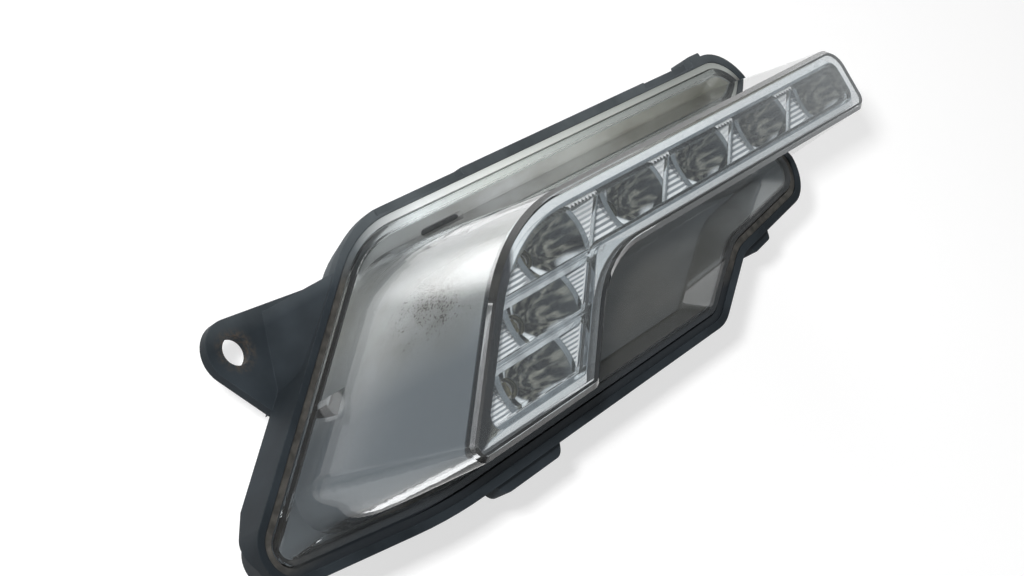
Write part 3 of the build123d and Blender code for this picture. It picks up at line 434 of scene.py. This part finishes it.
def paintedFloor(look):
    material, tree = newMaterial("paintedFloor")
    ray = addNode(tree, "ShaderNodeLightPath")
    first = addNode(tree, "ShaderNodeMath", {"operation": "MAXIMUM"},
                    {0: (ray, "Is Camera Ray"), 1: (ray, "Is Glossy Ray")})
    seen = addNode(tree, "ShaderNodeMath", {"operation": "MAXIMUM"},
                   {0: (first, "Value"), 1: (ray, "Is Transmission Ray")})
    paint = addNode(tree, "ShaderNodeBsdfDiffuse", {"Color": hexColour(look["paint"])})
    lift = addNode(tree, "ShaderNodeMath", {"operation": "MULTIPLY", 1: look["lift"]}, {0: (seen, "Value")})
    glow = addNode(tree, "ShaderNodeEmission", None, {"Strength": (lift, "Value")})
    both = addNode(tree, "ShaderNodeAddShader", None, {0: (paint, "BSDF"), 1: (glow, "Emission")})
    side = addNode(tree, "ShaderNodeNewGeometry")
    axes = addNode(tree, "ShaderNodeSeparateXYZ", None, {"Vector": (side, "Position")})
    gone = addNode(tree, "ShaderNodeMapRange", span(look["fade"]), {"Value": (axes, "Z")})
    through = addNode(tree, "ShaderNodeMath", {"operation": "MAXIMUM"},
                      {0: (gone, "Result"), 1: (side, "Backfacing")})
    clear = addNode(tree, "ShaderNodeBsdfTransparent")
    sided = addNode(tree, "ShaderNodeMixShader", None,
                    {0: (through, "Value"), 1: (both, "Shader"), 2: (clear, "BSDF")})
    addNode(tree, "ShaderNodeOutputMaterial", None, {"Surface": (sided, "Shader")})
    return material


def layFloor(look):
    back = cadBox[1][1] + look["gapMm"] * mm
    half, edge = look["halfSize"], look["fade"][1]
    mesh = bpy.data.meshes.new("floor")
    corners = [(-half, back, -half), (half, back, -half), (half, back, edge), (-half, back, edge)]
    mesh.from_pydata(corners, [], [(0, 1, 2, 3)])
    floor = bpy.data.objects.new("floor", mesh)
    bpy.context.scene.collection.objects.link(floor)
    mesh.materials.append(paintedFloor(look))
    floor.visible_diffuse = False
    floor.visible_shadow = False


layFloor(floorLook)

# The aim is the middle of the rim plane near the elbow, and the camera stands level and is rolled
cameraLook = {"aimMm": (83.6, -11.5, -20.0), "distanceMm": 452.0, "turnDeg": 47.0, "rollDeg": 29.8, "lensMm": 58.0,
              "nearMm": 10.0}


def placeCamera(look):
    turn, roll = radians(look["turnDeg"]), radians(look["rollDeg"])
    ahead = Vector((sin(turn), cos(turn), 0))
    across = Vector((cos(turn), -sin(turn), 0))
    up = Vector((0, 0, 1))
    right = across * cos(roll) - up * sin(roll)
    top = across * sin(roll) + up * cos(roll)
    data = bpy.data.cameras.new("camera")
    data.lens = look["lensMm"]
    data.clip_start = look["nearMm"] * mm
    camera = bpy.data.objects.new("camera", data)
    axes = Matrix((right, top, -ahead)).transposed().to_4x4()
    place = Vector(look["aimMm"]) * mm - ahead * look["distanceMm"] * mm
    camera.matrix_world = Matrix.Translation(place) @ axes
    bpy.context.scene.collection.objects.link(camera)
    bpy.context.scene.camera = camera


placeCamera(cameraLook)

# Softboxes: place in metres, size in metres, power in watts; metal mirrors only the room. The key stands just left of
# and above the camera, doesn't fade with distance, and throws the shadow; the front one only fills
softboxes = [
    {"name": "keySoftbox", "place": (-0.257, -0.309, 0.035), "size": 0.03, "power": 8.3, "shadow": True,
     "even": True},
    {"name": "frontSoftbox", "place": (0.0, -1.5, -0.9), "size": 1.6, "power": 9.0, "shadow": False, "even": False},
    {"name": "topSoftbox", "place": (-0.25, -0.35, 0.80), "size": 0.7, "power": 3.5, "shadow": True, "even": False},
    {"name": "rearSoftbox", "place": (0.30, 0.90, 0.45), "size": 0.6, "power": 9.0, "shadow": True, "even": False},
]


def hangSoftbox(look):
    data = bpy.data.lights.new(look["name"], "AREA")
    data.shape = "SQUARE"
    data.size = look["size"]
    data.energy = look["power"]
    data.use_shadow = look["shadow"]
    if look["even"]:
        data.use_nodes = True
        tree = data.node_tree
        tree.nodes.clear()
        reach = addNode(tree, "ShaderNodeLightFalloff", {"Strength": 1.0})
        glow = addNode(tree, "ShaderNodeEmission", None, {"Strength": (reach, "Constant")})
        addNode(tree, "ShaderNodeOutputLight", None, {"Surface": (glow, "Emission")})
    lamp = bpy.data.objects.new(look["name"], data)
    lamp.location = look["place"]
    aim = Vector(cameraLook["aimMm"]) * mm - Vector(look["place"])
    lamp.rotation_euler = aim.to_track_quat("-Z", "Y").to_euler()
    lamp.visible_glossy = False
    lamp.visible_transmission = False
    bpy.context.scene.collection.objects.link(lamp)


for look in softboxes:
    hangSoftbox(look)

# The room is white to the eye and lights the lamp evenly; metal mirrors its dark mottled front and a few pale walls,
# each with its direction, how near to it, as a cosine, the pale begins and is full, and how strongly it shines
roomLook = {"light": 0.2, "dark": "#0e0f10", "mottled": "#a5a396", "bands": (4.0, 4.0, 8.0),
            "mottleFrom": (0.47, 0.68)}
roomWalls = [
    {"tint": "#8f969b", "toward": (0.76, -0.65, 0.0), "from": (0.86, 0.97), "shine": 1.0},
    {"tint": "#e6eaec", "toward": (0.78, -0.25, -0.57), "from": (0.8, 0.93), "shine": 1.0},
    {"tint": "#f2f5f6", "toward": (0.55, -0.55, 0.63), "from": (0.88, 0.97), "shine": 1.6},
    {"tint": "#777e84", "toward": (-0.1, 0.35, 0.93), "from": (0.75, 0.95), "shine": 1.0},
    {"tint": "#a0a5a8", "toward": (-0.96, 0.16, 0.24), "from": (0.85, 0.95), "shine": 1.0},
    {"tint": "#ffffff", "toward": (0.6, 0.2, 0.77), "from": (0.75, 0.9), "shine": 1.4},
    {"tint": "#ffffff", "toward": (0.2, 0.37, 0.9), "from": (0.95, 0.995), "shine": 4.0},
    {"tint": "#e8ecee", "toward": (-0.54, -0.38, 0.75), "from": (0.86, 0.94), "shine": 1.3},
]


def paintRoom(look):
    world = bpy.data.worlds.new("room")
    world.use_nodes = True
    tree = world.node_tree
    tree.nodes.clear()
    place = addNode(tree, "ShaderNodeTexCoord")
    banded = addNode(tree, "ShaderNodeVectorMath", {"operation": "MULTIPLY", 1: look["bands"]},
                     {0: (place, "Generated")})
    mottle = addNode(tree, "ShaderNodeTexNoise", {"Scale": 1.0, "Detail": 5.0}, {"Vector": (banded, "Vector")})
    front = addNode(tree, "ShaderNodeMapRange", span(look["mottleFrom"]), {"Value": (mottle, "Fac")})
    colour = addNode(tree, "ShaderNodeMix",
                     {"data_type": "RGBA", 6: hexColour(look["dark"]), 7: hexColour(look["mottled"])},
                     {"Factor": (front, "Result")})
    for wall in roomWalls:
        match = addNode(tree, "ShaderNodeVectorMath", {"operation": "DOT_PRODUCT", 1: wall["toward"]},
                        {0: (place, "Generated")})
        share = addNode(tree, "ShaderNodeMapRange", {"interpolation_type": "SMOOTHSTEP", **span(wall["from"])},
                        {"Value": (match, "Value")})
        pale = [channel * wall["shine"] for channel in hexColour(wall["tint"])]
        colour = addNode(tree, "ShaderNodeMix", {"data_type": "RGBA", 7: pale},
                         {"Factor": (share, "Result"), 6: (colour, 2)})
    ray = addNode(tree, "ShaderNodeLightPath")
    mirrored = addNode(tree, "ShaderNodeMath", {"operation": "MAXIMUM"},
                       {0: (ray, "Is Glossy Ray"), 1: (ray, "Is Transmission Ray")})
    seen = addNode(tree, "ShaderNodeMath", {"operation": "MAXIMUM"},
                   {0: (mirrored, "Value"), 1: (ray, "Is Camera Ray")})
    tint = addNode(tree, "ShaderNodeMix", {"data_type": "RGBA", 6: (1, 1, 1, 1)},
                   {"Factor": (mirrored, "Value"), 7: (colour, 2)})
    level = addNode(tree, "ShaderNodeMapRange", {"To Min": look["light"], "To Max": 1.0}, {"Value": (seen, "Value")})
    room = addNode(tree, "ShaderNodeBackground", None, {"Color": (tint, 2), "Strength": (level, "Result")})
    addNode(tree, "ShaderNodeOutputWorld", None, {"Surface": (room, "Background")})
    bpy.context.scene.world = world


paintRoom(roomLook)
bpy.context.scene.view_settings.view_transform = "Standard"
print("stage, camera and light done")
